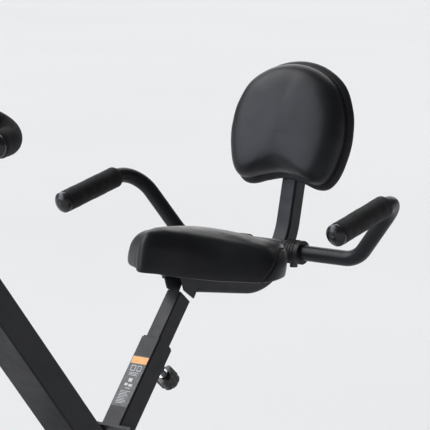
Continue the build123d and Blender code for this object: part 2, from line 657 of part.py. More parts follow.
def seat_spine():
    """One square tube: flat run under the seat, bend, then the backrest upright."""
    path = spine_path()
    start = Plane(origin=path @ 0, x_dir=(1, 0, 0), z_dir=path % 0)
    shell = sweep(start * RectangleRounded(SPINE, SPINE, 4), path=path)
    shell -= sweep(start * RectangleRounded(SPINE - 3, SPINE - 3, 2.5), path=path)
    front_plug = start.location * Pos(0, 0, -2) * extrude(RectangleRounded(SPINE, SPINE, 4), 4)
    top = Plane(origin=path @ 1, x_dir=(1, 0, 0), z_dir=path % 1)
    top_plug = top.location * Pos(0, 0, -2) * extrude(RectangleRounded(SPINE, SPINE, 4), 4)
    solid = shell + front_plug + top_plug
    for y in BACK_BOLT_SPOTS:
        solid -= BACK_FRAME * Pos(0, y, -SPINE) * extrude(Circle(BACK_BOLT_R + 0.1), SPINE * 2)
    return solid


def seat_bracket():
    """Top of the seat post: two gussets, a front web and the plate that the seat bolts to."""
    outline = make_face(Polyline(
        at(0, 178, 276), at(0, 189, 246), at(0, 213, 229.5), at(0, 230, 254), at(0, 236, 265.8), close=True))
    gussets = [Pos(x, 0, 0) * extrude(outline, 3.0, dir=(1, 0, 0)) for x in (SPINE / 2, -GUSSET_HALF)]
    solid = gussets[0] + gussets[1]
    solid += SEAT_FRAME * Pos(0, 21, 3.2) * fillet(Box(104, 126, 4).edges().filter_by(Axis.Z), 12)
    for x, y in SEAT_BOLT_SPOTS:
        solid -= SEAT_FRAME * Pos(x, y, -5) * extrude(Circle(SEAT_BOLT_R + 0.1), 20)
    return solid


def closed_outline(side):
    """Smooth closed face through half-profile points and their mirror images."""
    other = [(-x, y) for x, y in reversed(side[1:-1])]
    return make_face(Spline(*side, *other, periodic=True))


def shrunk(side, inset):
    """Half profile moved inward by inset, square to its own line."""
    ring = [(-side[1][0], side[1][1]), *side, (-side[-2][0], side[-2][1])]
    moved = []
    for before, point, after in zip(ring, ring[1:], ring[2:]):
        dx, dy = after[0] - before[0], after[1] - before[1]
        scale = inset / math.hypot(dx, dy)
        moved.append((point[0] - dy * scale, point[1] + dx * scale))
    return moved


def seat_outline(inset):
    return closed_outline(shrunk(SEAT_SIDE, inset))


def seat_pan():
    """Moulded board under the padding, drilled for the four seat bolts."""
    pan = Pos(0, 0, PAN_LOW) * extrude(seat_outline(PAN_INSET), PAN_TOP - PAN_LOW)
    for x, y in SEAT_BOLT_SPOTS:
        pan -= Pos(x, y, 0) * extrude(Circle(SEAT_BOLT_R + 0.1), 40)
    return SEAT_FRAME * pan


def seat_cushion():
    """Wide padded saddle, a closed solid that laps down round the pan."""
    pad = Pos(0, 0, SEAT_SKIRT) * extrude(seat_outline(0), SEAT_HEIGHT - SEAT_SKIRT)
    pad = fillet(pad.edges().group_by(Axis.Z)[-1], 14)
    pad -= Pos(0, 0, SEAT_SKIRT - 1) * extrude(seat_outline(PAN_INSET - 1), PAN_TOP - SEAT_SKIRT + 1)
    pad -= Pos(0, 100, 0) * Box(SPINE + 6, 200, 12)
    return SEAT_FRAME * pad


def seat_bolts():
    """Four bolts up into the pan, and a short stud standing down from it under the nose."""
    bolts = [SEAT_FRAME * Pos(x, y, 1.2) * bolt_y(SEAT_BOLT_R, 7, 11, 4) for x, y in SEAT_BOLT_SPOTS]
    stud = Pos(0, NOSE_STUD_Y, -10) * extrude(Circle(2.6), PAN_LOW + 10)
    stud += Pos(0, NOSE_STUD_Y, -7) * extrude(RegularPolygon(4.2, 6), 4)
    return group(bolts + [SEAT_FRAME * stud])


def back_outline(inset):
    return closed_outline(shrunk(BACK_SIDE, inset))


def backrest_board():
    """Moulded shell behind the pad, drilled for the two screws."""
    board = Pos(0, 0, BOARD_OFF) * extrude(back_outline(0), BOARD_T)
    board = chamfer(board.edges().group_by(Axis.Z)[0], 2.0)
    for y in BACK_BOLT_SPOTS:
        board -= Pos(0, y, 0) * extrude(Circle(BACK_BOLT_R + 0.1), SPINE)
    return BACK_FRAME * board


def backrest_cushion():
    start = BOARD_OFF + BOARD_T + 0.1
    pad = Pos(0, 0, start) * extrude(back_outline(PAD_INSET), BACK_PAD_OFF - start)
    pad = fillet(pad.edges().group_by(Axis.Z)[-1], 18)
    return BACK_FRAME * pad


def backrest_bolts():
    """Long screws through the upright into the board."""
    screws = []
    for y in BACK_BOLT_SPOTS:
        screws.append(BACK_FRAME * Pos(0, y, -SPINE / 2) * bolt_y(BACK_BOLT_R, 7, SPINE + 7, 4))
    return group(screws)


def handle_sleeve():
    """Cross tube welded into the inside of the bend, one socket each side."""
    sleeve = ring_x(SLEEVE_R, HANDLE_R, -COLLAR_OUT, COLLAR_OUT)
    for s in (-1, 1):
        sleeve -= Pos(s * HANDLE_BOLT_X, 0, -30) * extrude(Circle(4.1), 30)
    sleeve = Pos(*at(0, HANDLE_Y, HANDLE_Z)) * sleeve
    path = spine_path()
    start = Plane(origin=path @ 0, x_dir=(1, 0, 0), z_dir=path % 0)
    solid = sweep(start * RectangleRounded(SPINE, SPINE, 4), path=path)
    return sleeve - solid


def handle_collars():
    """Ribbed plastic collars on the sockets, each ending in a ring."""
    collars = []
    for s in (-1, 1):
        collar = ring_x(SLEEVE_R + 1.8, SLEEVE_R, COLLAR_IN, COLLAR_OUT)
        for i in range(4):
            collar += ring_x(SLEEVE_R + 2.8, SLEEVE_R, COLLAR_IN + 2 + i * 5.4, COLLAR_IN + 4.4 + i * 5.4)
        collar += ring_x(SLEEVE_R + 2.4, HANDLE_R + 0.02, COLLAR_OUT, RING_END)
        collar -= Pos(HANDLE_BOLT_X, 0, -30) * extrude(Circle(7.2), 30)
        collar = collar if s > 0 else mirror(collar, Plane.YZ)
        collars.append(Pos(*at(0, HANDLE_Y, HANDLE_Z)) * collar)
    return group(collars)


def handle_bolts():
    """Clamp bolt with a washer under each socket."""
    bolts = []
    for s in (-1, 1):
        shank = Pos(0, 0, -SLEEVE_R - 8) * extrude(Circle(4), 14)
        head = Pos(0, 0, -SLEEVE_R - 8) * extrude(Circle(6.5), 8) - rod_x(SLEEVE_R, -90, 90)
        bolt = Pos(s * HANDLE_BOLT_X, 0, 0) * (shank + head)
        bolts.append(Pos(*at(0, HANDLE_Y, HANDLE_Z)) * (bolt - rod_x(HANDLE_R, -90, 90)))
    return group(bolts)


def handle_path(s, start_x=14.0):
    points = [(start_x, HANDLE_Y, HANDLE_Z), (HANDLE_CORNER_X, HANDLE_Y, HANDLE_Z), HANDLE_TOP, GRIP_FRONT]
    return FilletPolyline(*[at(x * s, y, z) for x, y, z in points], radius=[HANDLE_BEND, HANDLE_BEND])


def side_handle(s):
    return along(handle_path(s), HANDLE_R, HANDLE_R - 1.8)


def grip_line(s):
    front, corner = at(GRIP_FRONT[0] * s, *GRIP_FRONT[1:]), at(HANDLE_TOP[0] * s, *HANDLE_TOP[1:])
    return front, (corner - front).normalized()


def side_grip(s):
    """Foam sleeve with softened ends."""
    front, way = grip_line(s)
    sleeve = extrude(Circle(GRIP_R), GRIP_LENGTH)
    sleeve = fillet(sleeve.edges().filter_by(GeomType.CIRCLE), 3)
    return facing(front, way) * (sleeve - extrude(Circle(HANDLE_R), 300))


def side_grip_caps():
    caps = []
    for s in (-1, 1):
        front, way = grip_line(s)
        caps.append(facing(front, way * -1) * domed_cap(GRIP_R - 0.4, 3, 10))
    return group(caps)


# ---------------- pins and knobs ----------------
def seat_pin():
    tip = POST_D / 2 + PIN_GAP
    pin = Pos(0, 0, tip) * extrude(Circle(PIN_R), 50) + Pos(0, 0, SEAT_BOSS_END + 12) * extrude(Circle(8), 4)
    return rearward(pin, SEAT_PIN_AT)


def seat_knob():
    body = Pos(0, 0, KNOB_START + 3.5) * knob(KNOB_R, KNOB_LENGTH, 7, 5.0)
    body -= Pos(0, 0, POST_D / 2 + PIN_GAP) * extrude(Circle(PIN_R), 50) + Pos(0, 0, SEAT_BOSS_END + 12) * extrude(Circle(8), 4)
    return rearward(body, SEAT_PIN_AT)


def fold_pin():
    """Drawn locking pin on the right cheek, with its pull knob."""
    tip = BEAM_W / 2 + PIN_GAP
    pin = rod_x(PIN_R, -86, -tip)
    grip = Pos(-71, 0, 0) * Rot(0, -90, 0) * knob(18, 28, 6, 7)
    return Pos(*at(0, FOLD_PIN_Y, FOLD_PIN_Z)) * group([pin, grip - pin])


NODES = {
    "front_leg": front_leg,
    "pivot_yoke": pivot_yoke,
    "pivot_bolt": pivot_bolt,
    "seat_tube": seat_tube,
    "seat_tube_bushing": seat_tube_bushing,
    "seat_pin_boss": seat_pin_boss,
    "front_stabiliser": lambda: stabiliser(FRONT_STAB, FRONT_STAB_HALF, -1),
    "front_end_caps": front_end_caps,
    "front_stabiliser_bolts": lambda: stabiliser_bolts(FRONT_STAB, -1),
    "drive_bracket": drive_bracket,
    "crank_bearings": crank_bearings,
    "flywheel_axle": flywheel_axle,
    "housing_left": lambda: housing(1),
    "housing_right": lambda: housing(-1),
    "housing_screws": housing_screws,
    "drive_belt": drive_belt,
    "mast_beam": mast_beam,
    "rear_stabiliser": lambda: stabiliser(REAR_STAB, REAR_STAB_HALF, 1),
    "rear_end_caps": rear_end_caps,
    "rear_stabiliser_bolts": lambda: stabiliser_bolts(REAR_STAB, 1),
    "handlebar_clamp": handlebar_clamp,
    "clamp_bolts": clamp_bolts,
    "handlebar": handlebar,
    "handlebar_grips": handlebar_grips,
    "handlebar_end_caps": handlebar_end_caps,
    "console_case_front": console_case_front,
    "console_case_back": console_case_back,
    "console_lens": console_lens,
    "mode_button": mode_button,
    "tension_knob": tension_knob,
    "seat_post": seat_post,
    "seat_bracket": seat_bracket,
    "seat_spine": seat_spine,
    "seat_pan": seat_pan,
    "seat_cushion": seat_cushion,
    "seat_bolts": seat_bolts,
    "backrest_board": backrest_board,
    "backrest_cushion": backrest_cushion,
    "backrest_bolts": backrest_bolts,
    "handle_sleeve": handle_sleeve,
    "side_handle_left": lambda: side_handle(1),
    "side_handle_right": lambda: side_handle(-1),
    "handle_collars": handle_collars,
    "handle_bolts": handle_bolts,
    "side_grip_left": lambda: side_grip(1),
    "side_grip_right": lambda: side_grip(-1),
    "side_grip_caps": side_grip_caps,
    "seat_pin": seat_pin,
    "seat_knob": seat_knob,
    "fold_pin": fold_pin,
    "crank_axle": crank_axle,
    "crank_arms": crank_arms,
    "drive_pulley": drive_pulley,
    "pedal_left": lambda: pedal(1),
    "pedal_right": lambda: pedal(-1),
    "flywheel": flywheel,
    "magnet_bracket": magnet_bracket,
    "transport_wheel_left": lambda: transport_wheel(1),
    "transport_wheel_right": lambda: transport_wheel(-1),
}

for name, make in NODES.items():
    save(make(), name)
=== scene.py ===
import json
import math

import bmesh
import bpy
import numpy as np
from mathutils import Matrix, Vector
from mathutils.bvhtree import BVHTree


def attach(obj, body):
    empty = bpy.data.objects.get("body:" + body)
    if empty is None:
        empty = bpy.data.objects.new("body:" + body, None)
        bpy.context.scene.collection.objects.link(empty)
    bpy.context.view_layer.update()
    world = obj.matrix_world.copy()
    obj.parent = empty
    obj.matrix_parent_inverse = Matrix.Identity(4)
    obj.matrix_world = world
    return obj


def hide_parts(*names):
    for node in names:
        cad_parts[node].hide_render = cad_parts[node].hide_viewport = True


# Looks for a folding exercise bike with a backrest: vinyl saddle and backrest, foam grips,
# powder-coated tubes, moulded plastic, and a plain pale studio.  The scene is in metres;
# shapes are written in millimetres and scaled by MM where they are placed.

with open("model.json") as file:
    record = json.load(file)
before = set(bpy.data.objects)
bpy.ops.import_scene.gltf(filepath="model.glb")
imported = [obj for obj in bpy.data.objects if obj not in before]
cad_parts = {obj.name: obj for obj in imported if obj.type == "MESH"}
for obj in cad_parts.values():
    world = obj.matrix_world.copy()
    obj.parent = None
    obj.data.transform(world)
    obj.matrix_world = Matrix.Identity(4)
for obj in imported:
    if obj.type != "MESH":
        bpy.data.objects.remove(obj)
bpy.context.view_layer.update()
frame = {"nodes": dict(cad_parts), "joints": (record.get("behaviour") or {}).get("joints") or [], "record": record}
JOINTS = {j["name"]: j for j in frame["joints"]}
PIVOT = Vector(JOINTS["fold"]["pos_m"])
MM = 0.001


def at(x, y, z):
    """Point in the row frame from millimetres counted from the pivot."""
    return PIVOT + Vector((x, y, z)) * MM


class Local:
    """A small frame: across the bike, along a sloping line, and square to it, in millimetres."""

    def __init__(self, origin, along):
        self.origin = origin
        self.x = Vector((1, 0, 0))
        self.y = Vector(along).normalized()
        self.z = self.x.cross(self.y)

    def put(self, x, y, z):
        return self.origin + (self.x * x + self.y * y + self.z * z) * MM

    def read(self, point):
        d = (point - self.origin) / MM
        return d.dot(self.x), d.dot(self.y), d.dot(self.z)


def slope(degrees):
    return math.cos(math.radians(degrees)), math.sin(math.radians(degrees))


SEAT_TILT = 9.95          # saddle's base plane, down to the rear
BACK_LEAN = 14.0          # backrest, from the vertical
MEMBER_LEAN = 40.1        # seat tube and mast, from the vertical
c, s = slope(-SEAT_TILT)
SEAT = Local(at(0, 233.5, 265.0), (0, c, s))
c, s = slope(90 - BACK_LEAN)
BACK = Local(at(0, 505.5, 353.0), (0, c, s))          # z points forward
c, s = slope(90 - MEMBER_LEAN)
TUBE = Local(PIVOT, (0, c, s))                        # up the seat tube; z points forward


# ---------------------------------------------------------------- materials
class Nodes:
    """Short hand for building one material's node tree."""

    def __init__(self, name):
        self.material = bpy.data.materials.new(name)
        self.material.use_nodes = True
        self.tree = self.material.node_tree
        self.shader = self.tree.nodes["Principled BSDF"]
        self.place = self.add("ShaderNodeTexCoord").outputs["Object"]

    def add(self, kind, **values):
        node = self.tree.nodes.new(kind)
        for key, value in values.items():
            setattr(node, key, value)
        return node

    def link(self, a, b):
        self.tree.links.new(a, b)

    def noise(self, scale, detail=3.0, rough=0.5, stretch=None):
        node = self.add("ShaderNodeTexNoise")
        node.inputs["Scale"].default_value = scale
        node.inputs["Detail"].default_value = detail
        node.inputs["Roughness"].default_value = rough
        self.link(self.stretched(stretch), node.inputs["Vector"])
        return node.outputs["Fac"]

    def stretched(self, stretch):
        if stretch is None:
            return self.place
        mapping = self.add("ShaderNodeMapping")
        mapping.inputs["Scale"].default_value = stretch
        self.link(self.place, mapping.inputs["Vector"])
        return mapping.outputs["Vector"]

    def cells(self, scale, feature="DISTANCE_TO_EDGE"):
        node = self.add("ShaderNodeTexVoronoi", feature=feature)
        node.inputs["Scale"].default_value = scale
        self.link(self.place, node.inputs["Vector"])
        return node.outputs["Distance"]

    def span(self, value, low, high, out_low, out_high):
        node = self.add("ShaderNodeMapRange")
        for key, v in (("From Min", low), ("From Max", high), ("To Min", out_low), ("To Max", out_high)):
            node.inputs[key].default_value = v
        self.link(value, node.inputs["Value"])
        return node.outputs["Result"]

    def tint(self, value, dark, light, low=0.3, high=0.7):
        ramp = self.add("ShaderNodeValToRGB")
        ramp.color_ramp.elements[0].position = low
        ramp.color_ramp.elements[1].position = high
        ramp.color_ramp.elements[0].color = (*dark, 1)
        ramp.color_ramp.elements[1].color = (*light, 1)
        self.link(value, ramp.inputs["Fac"])
        return ramp.outputs["Color"]

    def bump(self, height, strength, distance, below=None):
        node = self.add("ShaderNodeBump")
        node.inputs["Strength"].default_value = strength
        node.inputs["Distance"].default_value = distance
        self.link(height, node.inputs["Height"])
        if below is not None:
            self.link(below, node.inputs["Normal"])
        return node.outputs["Normal"]

    def set(self, **values):
        for key, value in values.items():
            self.shader.inputs[key.replace("_", " ")].default_value = value

    def finish(self, colour, rough, normal=None):
        self.link(colour, self.shader.inputs["Base Color"])
        self.link(rough, self.shader.inputs["Roughness"])
        if normal is not None:
            self.link(normal, self.shader.inputs["Normal"])
        return self.material


def shade(colour, factor):
    return tuple(min(1.0, v * factor) for v in colour)


def powder_coat():
    n = Nodes("powder_coat")
    cloud = n.noise(9, 4)
    peel = n.noise(1500, 2, 0.6)
    base = (0.0135, 0.0140, 0.0165)
    n.set(IOR=1.30)
    normal = n.bump(peel, 0.22, 0.0003)
    colour = n.tint(cloud, shade(base, 0.82), shade(base, 1.2))
    rough = n.span(n.noise(55, 3), 0.3, 0.7, 0.36, 0.46)
    return n.finish(colour, rough, normal)


def gloss_paint():
    n = Nodes("gloss_paint")
    base = (0.012, 0.012, 0.014)
    n.set(Coat_Weight=0.6, Coat_Roughness=0.08)
    normal = n.bump(n.noise(420, 2), 0.06, 0.0003)
    colour = n.tint(n.noise(14), shade(base, 0.8), shade(base, 1.3))
    rough = n.span(n.noise(70), 0.3, 0.7, 0.2, 0.3)
    return n.finish(colour, rough, normal)


def vinyl():
    n = Nodes("vinyl")
    base = (0.0105, 0.0108, 0.0125)
    n.set(IOR=1.32)
    wrinkle = n.noise(34, 5, 0.55)
    cells = n.cells(720)
    pores = n.noise(2100, 2, 0.6)
    grain = n.bump(n.span(cells, 0.0, 0.12, 0.0, 1.0), 0.20, 0.00016)
    normal = n.bump(pores, 0.10, 0.0001, grain)
    normal = n.bump(wrinkle, 0.10, 0.0012, normal)
    colour = n.tint(n.noise(17, 4), shade(base, 0.85), shade(base, 1.2))
    return n.finish(colour, n.span(n.noise(40, 4), 0.3, 0.7, 0.37, 0.45), normal)


def foam():
    n = Nodes("foam")
    base = (0.018, 0.018, 0.0195)
    n.set(IOR=1.3, Sheen_Weight=0.03, Sheen_Roughness=0.5)
    cells = n.cells(1050, "F1")
    fine = n.noise(2600, 2, 0.7)
    normal = n.bump(cells, 0.55, 0.0004)
    normal = n.bump(fine, 0.25, 0.0002, normal)
    colour = n.tint(n.noise(60, 4), shade(base, 0.7), shade(base, 1.35))
    rough = n.span(n.noise(300), 0.3, 0.7, 0.68, 0.85)
    return n.finish(colour, rough, normal)


def gloss_plastic():
    n = Nodes("gloss_plastic")
    base = (0.0075, 0.0075, 0.0085)
    n.set(IOR=1.38, Coat_Weight=0.18, Coat_Roughness=0.10)
    normal = n.bump(n.noise(260, 3), 0.05, 0.0003)
    colour = n.tint(n.noise(30), shade(base, 0.8), shade(base, 1.3))
    rough = n.span(n.noise(120, 4), 0.3, 0.7, 0.22, 0.32)
    return n.finish(colour, rough, normal)


def matte_plastic():
    n = Nodes("matte_plastic")
    base = (0.0145, 0.0145, 0.016)
    n.set(IOR=1.32)
    normal = n.bump(n.cells(1400, "F1"), 0.35, 0.00018)
    normal = n.bump(n.noise(700, 2), 0.15, 0.0002, normal)
    colour = n.tint(n.noise(22, 4), shade(base, 0.85), shade(base, 1.2))
    rough = n.span(n.noise(90), 0.3, 0.7, 0.44, 0.56)
    return n.finish(colour, rough, normal)


def zinc():
    n = Nodes("zinc_steel")
    n.set(Metallic=1.0)
    normal = n.bump(n.noise(420, 3, 0.6, (1, 1, 6)), 0.12, 0.0002)
    colour = n.tint(n.noise(80, 4), (0.33, 0.34, 0.36), (0.52, 0.53, 0.55))
    rough = n.span(n.noise(150), 0.3, 0.7, 0.26, 0.42)
    return n.finish(colour, rough, normal)


def black_steel():
    n = Nodes("black_oxide_steel")
    n.set(Metallic=0.6)
    base = (0.05, 0.05, 0.054)
    normal = n.bump(n.noise(600, 3), 0.12, 0.0002)
    colour = n.tint(n.noise(90, 4), shade(base, 0.7), shade(base, 1.4))
    rough = n.span(n.noise(150), 0.3, 0.7, 0.32, 0.45)
    return n.finish(colour, rough, normal)


def cast_iron():
    n = Nodes("turned_iron")
    n.set(Metallic=0.85)
    normal = n.bump(n.noise(260, 5, 0.65), 0.3, 0.0005)
    colour = n.tint(n.noise(60, 5), (0.10, 0.10, 0.105), (0.24, 0.24, 0.245))
    rough = n.span(n.noise(90), 0.3, 0.7, 0.38, 0.6)
    return n.finish(colour, rough, normal)


def belt_rubber():
    n = Nodes("belt_rubber")
    wave = n.add("ShaderNodeTexWave", wave_type="BANDS", bands_direction="X")
    wave.inputs["Scale"].default_value = 190
    n.link(n.place, wave.inputs["Vector"])
    normal = n.bump(wave.outputs["Fac"], 0.8, 0.0008)
    colour = n.tint(n.noise(200), (0.012, 0.012, 0.012), (0.025, 0.025, 0.025))
    rough = n.span(n.noise(100), 0.3, 0.7, 0.6, 0.75)
    return n.finish(colour, rough, normal)


def display_glass():
    n = Nodes("display_glass")
    n.set(Coat_Weight=1.0, Coat_Roughness=0.03)
    colour = n.tint(n.noise(18), (0.055, 0.066, 0.058), (0.075, 0.088, 0.078))
    rough = n.span(n.noise(60), 0.3, 0.7, 0.18, 0.26)
    return n.finish(colour, rough)


def soft_key():
    n = Nodes("soft_key")
    normal = n.bump(n.noise(900, 2), 0.2, 0.0002)
    colour = n.tint(n.noise(70), (0.20, 0.205, 0.215), (0.27, 0.275, 0.285))
    rough = n.span(n.noise(90), 0.3, 0.7, 0.5, 0.62)
    return n.finish(colour, rough, normal)


def printed(name, colour):
    n = Nodes(name)
    normal = n.bump(n.noise(1800, 2), 0.15, 0.00008)
    colour = n.tint(n.noise(160, 4), shade(colour, 0.88), shade(colour, 1.08))
    rough = n.span(n.noise(200), 0.3, 0.7, 0.36, 0.48)
    return n.finish(colour, rough, normal)


def thread():
    n = Nodes("thread")
    normal = n.bump(n.noise(5200, 2, 0.6, (1, 1, 0.3)), 0.6, 0.0001)
    colour = n.tint(n.noise(900), (0.010, 0.010, 0.012), (0.022, 0.022, 0.025))
    rough = n.span(n.noise(700), 0.3, 0.7, 0.55, 0.7)
    return n.finish(colour, rough, normal)


MAKERS = {
    "frame_steel": powder_coat,
    "bright_steel": zinc,
    "crank_steel": gloss_paint,
    "cast_iron": cast_iron,
    "black_plastic": matte_plastic,
    "gloss_black": gloss_plastic,
    "foam": foam,
    "vinyl": vinyl,
    "belt_rubber": belt_rubber,
    "display": display_glass,
    "button_grey": soft_key,
}
MATERIALS = {slot: make() for slot, make in MAKERS.items()}
BLACK_STEEL = black_steel()
THREAD = thread()
DARKENED = ("seat_bolts", "backrest_bolts", "handle_bolts", "clamp_bolts", "housing_screws")


def dress_cad():
    """Give every CAD node its procedural material."""
    slots = {p["node"]: p["material_slot"] for p in frame["record"]["subparts"]}
    for name, node in frame["nodes"].items():
        material = BLACK_STEEL if name in DARKENED else MATERIALS[slots[name]]
        node.data.materials.clear()
        node.data.materials.append(material)


# ---------------------------------------------------------------- mesh helpers
def new_object(name, verts, faces, smooth=True):
    mesh = bpy.data.meshes.new(name)
    mesh.from_pydata([tuple(v) for v in verts], [], faces)
    mesh.validate()
    obj = bpy.data.objects.new(name, mesh)
    bpy.context.scene.collection.objects.link(obj)
    if smooth:
        mesh.shade_smooth()
    return obj


def fit_out(obj, body, slot, material=None, replaces=()):
    obj.data.materials.clear()
    obj.data.materials.append(material or MATERIALS[slot])
    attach(obj, body)
    if replaces:
        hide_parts(*replaces)
    return obj


def rings_to_faces(count, size, closed=False):
    faces = []
    for k in range(count - 1 + (1 if closed else 0)):
        a, b = k * size, ((k + 1) % count) * size
        for i in range(size):
            j = (i + 1) % size
            faces.append((a + i, a + j, b + j, b + i))
    return faces


WELD_DISTANCE = 0.00002


def ring_solid(name, rings, put):
    """Closed quad mesh through rings: the first is capped, the last closes on itself."""
    size = len(rings[0])
    verts = [put(*p) for ring in rings for p in ring]
    faces = rings_to_faces(len(rings), size)
    faces.append(tuple(range(size))[::-1])
    obj = new_object(name, verts, faces)
    mesh = bmesh.new()
    mesh.from_mesh(obj.data)
    bmesh.ops.remove_doubles(mesh, verts=mesh.verts, dist=WELD_DISTANCE)
    bmesh.ops.recalc_face_normals(mesh, faces=mesh.faces)
    mesh.to_mesh(obj.data)
    mesh.free()
    obj.data.shade_smooth()
    return obj


def closed_curve(points, samples):
    """Smooth closed curve through points, evenly spaced samples (Catmull-Rom)."""
    n = len(points)
    fine = []
    for i in range(n):
        p0, p1, p2, p3 = (np.array(points[(i + k) % n], float) for k in (-1, 0, 1, 2))
        for t in np.linspace(0, 1, 24, endpoint=False):
            fine.append(0.5 * (2 * p1 + (p2 - p0) * t + (2 * p0 - 5 * p1 + 4 * p2 - p3) * t ** 2
                               + (3 * p1 - p0 - 3 * p2 + p3) * t ** 3))
    fine = np.array(fine + [fine[0]])
    step = np.linalg.norm(np.diff(fine, axis=0), axis=1)
    run = np.concatenate([[0], np.cumsum(step)])
    want = np.linspace(0, run[-1], samples, endpoint=False)
    return np.stack([np.interp(want, run, fine[:, k]) for k in range(2)], 1)


def mirrored(side):
    return list(side) + [(-x, y) for x, y in reversed(side[1:-1])]


def outward(curve):
    """Unit normals of a closed anticlockwise or clockwise curve, pointing out."""
    tangent = np.roll(curve, -1, 0) - np.roll(curve, 1, 0)
    tangent /= np.linalg.norm(tangent, axis=1)[:, None]
    normal = np.stack([tangent[:, 1], -tangent[:, 0]], 1)
    if (normal * (curve - curve.mean(0))).sum() < 0:
        normal = -normal
    return normal


SQUARE_INSET = 11.0
DRAW_RATE = 1.1


def drawn_in(p, n, inset, middle):
    """Point inside the outline: square to it at first, then straight for the middle.

    The change of direction keeps tight corners from folding over themselves.
    """
    q = p - n * min(inset, SQUARE_INSET)
    way = np.array(middle, float) - q
    return q + way / np.linalg.norm(way) * max(inset - SQUARE_INSET, 0) * DRAW_RATE


def clamped(value, low, high):
    return min(max(value, low), high)


def baked(obj):
    """Apply an object's modifiers."""
    graph = bpy.context.evaluated_depsgraph_get()
    mesh = bpy.data.meshes.new_from_object(obj.evaluated_get(graph))
    obj.modifiers.clear()
    old = obj.data
    obj.data = mesh
    bpy.data.meshes.remove(old)
    return obj


def subdivide(obj, levels=1):
    mod = obj.modifiers.new("smooth", "SUBSURF")
    mod.levels = levels
    mod.render_levels = levels
    baked(obj)
    obj.data.shade_smooth()
    return obj


def positions(obj):
    co = np.empty(len(obj.data.vertices) * 3)
    obj.data.vertices.foreach_get("co", co)
    return co.reshape(-1, 3)


CLOTH_PRESSURE = 4.0
CLOTH_REACH = 0.003
CLOTH_FRAMES = 20
CLOTH_EVENING = 24
CLOTH = {"quality": 6, "mass": 0.3, "tension_stiffness": 25, "compression_stiffness": 25, "shear_stiffness": 12,
         "bending_stiffness": 1.5, "use_pressure": True, "uniform_pressure_force": CLOTH_PRESSURE}


def inflate(obj, held):
    """Cloth under pressure: the cover swells a little between its held edges."""
    rest = positions(obj)
    group = obj.vertex_groups.new(name="held")
    group.add([i for i, p in enumerate(rest) if held(Vector(p))], 1.0, "REPLACE")
    mod = obj.modifiers.new("cloth", "CLOTH")
    cloth = mod.settings
    for key, value in CLOTH.items():
        setattr(cloth, key, value)
    cloth.effector_weights.gravity = 0
    cloth.vertex_group_mass = "held"
    mod.point_cache.frame_end = CLOTH_FRAMES
    scene = bpy.context.scene
    for f in range(1, CLOTH_FRAMES + 1):
        scene.frame_set(f)
    graph = bpy.context.evaluated_depsgraph_get()
    moved = positions(obj.evaluated_get(graph))
    obj.modifiers.remove(mod)
    obj.vertex_groups.remove(group)
    scene.frame_set(1)
    normal = np.empty(len(rest) * 3)
    obj.data.vertices.foreach_get("normal", normal)
    normal = normal.reshape(-1, 3)
    out = np.clip(((moved - rest) * normal).sum(1), -CLOTH_REACH, CLOTH_REACH)
    out = evened(obj, out, CLOTH_EVENING)
    obj.data.vertices.foreach_set("co", (rest + normal * out[:, None]).ravel())
    obj.data.update()
    return obj


def evened(obj, values, rounds):
    """Average a value over neighbouring vertices, so that a cover over foam shows no creases."""
    ends = np.empty(len(obj.data.edges) * 2, int)
    obj.data.edges.foreach_get("vertices", ends)
    a, b = ends.reshape(-1, 2).T
    count = np.bincount(ends, minlength=len(values))
    for _ in range(rounds):
        total = np.bincount(a, values[b], len(values)) + np.bincount(b, values[a], len(values))
        values = 0.5 * values + 0.5 * total / count
    return values


def sweep_tube(name, centres, radii, segments):
    """Round tube with closed ends along centre points, with a radius at each."""
    centres = [Vector(p) for p in centres]
    verts, faces = [], []
    tangent = (centres[1] - centres[0]).normalized()
    side = tangent.orthogonal().normalized()
    for i, p in enumerate(centres):
        a, b = centres[max(i - 1, 0)], centres[min(i + 1, len(centres) - 1)]
        new = (b - a).normalized()
        side = (side - new * side.dot(new)).normalized()
        up = new.cross(side)
        for k in range(segments):
            t = 2 * math.pi * k / segments
            verts.append(p + (side * math.cos(t) + up * math.sin(t)) * radii[i])
    faces = rings_to_faces(len(centres), segments)
    faces.append(tuple(range(segments))[::-1])
    faces.append(tuple(range(len(verts) - segments, len(verts))))
    return new_object(name, verts, faces)


def closed_tube(name, centres, radius, segments=10):
    """Round cord along a closed loop of centre points."""
    verts = []
    n = len(centres)
    middle = sum(centres, Vector()) / n
    for i, p in enumerate(centres):
        way = (centres[(i + 1) % n] - centres[i - 1]).normalized()
        side = (p - middle)
        side = (side - way * side.dot(way)).normalized()
        up = way.cross(side)
        for k in range(segments):
            t = 2 * math.pi * k / segments
            verts.append(p + (side * math.cos(t) + up * math.sin(t)) * radius)
    return new_object(name, verts, rings_to_faces(n, segments, closed=True))


def rounded_path(points, radii, step=0.003):
    """Straight runs joined by arcs, sampled about every step."""
    out = [Vector(points[0])]
    for i in range(1, len(points) - 1):
        p, a, b = Vector(points[i]), Vector(points[i - 1]), Vector(points[i + 1])
        u, v = (a - p).normalized(), (b - p).normalized()
        angle = u.angle(v)
        reach = radii[i - 1] / math.tan(angle / 2)
        start, end = p + u * reach, p + v * reach
        centre = p + (u + v).normalized() * (radii[i - 1] / math.sin(angle / 2))
        out.append(start)
        count = max(4, int(radii[i - 1] * (math.pi - angle) / step))
        for k in range(1, count):
            out.append(centre + (start - centre).slerp(end - centre, k / count) * radii[i - 1])
        out.append(end)
    out.append(Vector(points[-1]))
    even = [out[0]]
    for a, b in zip(out, out[1:]):
        n = max(1, round((b - a).length / step))
        even += [a.lerp(b, (k + 1) / n) for k in range(n)]
    return even


def swell(value, low, high):
    """Smooth step from 0 at low to 1 at high."""
    t = min(max((value - low) / (high - low), 0.0), 1.0)
    return t * t * (3 - 2 * t)


